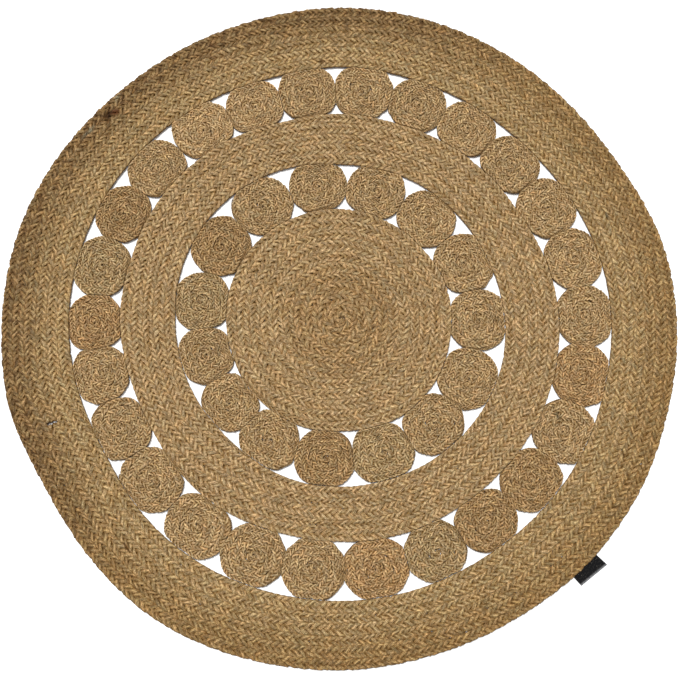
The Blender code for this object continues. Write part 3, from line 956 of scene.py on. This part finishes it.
satin = bpy.data.materials.new("label_tape")
satin.use_nodes = True
tree = satin.node_tree
shader = tree.nodes["Principled BSDF"]
shader.inputs["Specular IOR Level"].default_value = SATIN_SPECULAR
weave_uv = add_node(tree, "ShaderNodeUVMap", uv_map="weave").outputs["UV"]
weave_split = add_node(tree, "ShaderNodeSeparateXYZ")
tree.links.new(weave_uv, weave_split.inputs[0])
rib_place = add_math(tree, "MULTIPLY", weave_split.outputs["Y"], RIBS_A_METRE)
rib_round = add_math(tree, "PINGPONG", rib_place, 0.5)
staggered = add_math(tree, "MULTIPLY", add_math(tree, "FLOOR", rib_place), RIB_STAGGER)
float_place = add_math(tree, "MULTIPLY", weave_split.outputs["X"], FLOATS_A_METRE)
float_round = add_math(tree, "PINGPONG", add_math(tree, "ADD", float_place, staggered), 0.5)
woven = add_math(tree, "MULTIPLY", rib_round, float_round)
satin_colour = add_mix(tree, add_ramp(tree, woven, FLOAT_CATCH), TAPE_BLACK, TAPE_SHEEN)
fold_sheen_share = add_node(tree, "ShaderNodeAttribute", attribute_name="fold_sheen").outputs["Fac"]
sheen_rubbing = add_ramp(tree, add_fibre_noise(tree, weave_uv, SHEEN_RUBBING), SHEEN_RUBBING_SHARE)
rubbed_sheen = add_math(tree, "MULTIPLY", add_ramp(tree, fold_sheen_share, RUBBED_SHEEN_AT_FOLD), sheen_rubbing)
rubbed_sheen_colour = add_mix(tree, rubbed_sheen, satin_colour, TAPE_RUBBED_SHEEN)
lint = add_ramp(tree, add_fibre_noise(tree, weave_uv, LINT), LINT_SHARE)
tree.links.new(add_mix(tree, lint, rubbed_sheen_colour, TAPE_LINT), shader.inputs["Base Color"])
tree.links.new(add_ramp(tree, woven, SATIN_ROUGHNESS), shader.inputs["Roughness"])
tape_bump = add_node(tree, "ShaderNodeBump", Strength=SATIN_RELIEF_STRENGTH, Distance=SATIN_RELIEF)
tree.links.new(woven, tape_bump.inputs["Height"])
tree.links.new(tape_bump.outputs["Normal"], shader.inputs["Normal"])
tape_mesh.materials.append(satin)

tape = bpy.data.objects.new("folded_label", tape_mesh)
bpy.context.scene.collection.objects.link(tape)
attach(tape, "root")
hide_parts("label")


# ---- The floor and the light ----------------------------------------------------------------
# The rug lies on a plain pale floor, a hair above it. Broad soft light falls on it from high up,
# a little from the upper left, and the room is as pale all round.
FLOOR_SIZE = 40.0
FLOOR_DROP = 0.0002
FLOOR_CORNERS = ((-1.0, -1.0), (1.0, -1.0), (1.0, 1.0), (-1.0, 1.0))
FLOOR_COLOUR = (0.92, 0.92, 0.92, 1.0)
FLOOR_ROUGHNESS = 0.9
LIGHT_HEADING = Vector((0.17, -0.30, -1.0))
LIGHT_STRENGTH = 3.8
LIGHT_SPREAD = 22.0          # degrees
ROOM_COLOUR = (1.0, 1.0, 1.0, 1.0)
ROOM_STRENGTH = 0.47

floor_mesh = bpy.data.meshes.new("floor")
floor_mesh.from_pydata([(x * FLOOR_SIZE / 2.0, y * FLOOR_SIZE / 2.0, -FLOOR_DROP) for x, y in FLOOR_CORNERS],
                       [], [(0, 1, 2, 3)])
floor = bpy.data.objects.new("floor", floor_mesh)
bpy.context.scene.collection.objects.link(floor)
floor_paint = bpy.data.materials.new("floor_paint")
floor_paint.use_nodes = True
floor_shader = floor_paint.node_tree.nodes["Principled BSDF"]
floor_shader.inputs["Base Color"].default_value = FLOOR_COLOUR
floor_shader.inputs["Roughness"].default_value = FLOOR_ROUGHNESS
floor_mesh.materials.append(floor_paint)

light_data = bpy.data.lights.new("window_light", "SUN")
light_data.energy = LIGHT_STRENGTH
light_data.angle = math.radians(LIGHT_SPREAD)
light = bpy.data.objects.new("window_light", light_data)
light.rotation_euler = LIGHT_HEADING.to_track_quat("-Z", "Y").to_euler()
bpy.context.scene.collection.objects.link(light)
room = bpy.data.worlds.new("soft_room")
room.use_nodes = True
room_background = room.node_tree.nodes["Background"]
room_background.inputs["Color"].default_value = ROOM_COLOUR
room_background.inputs["Strength"].default_value = ROOM_STRENGTH
bpy.context.scene.world = room
bpy.context.scene.view_settings.view_transform = "Standard"
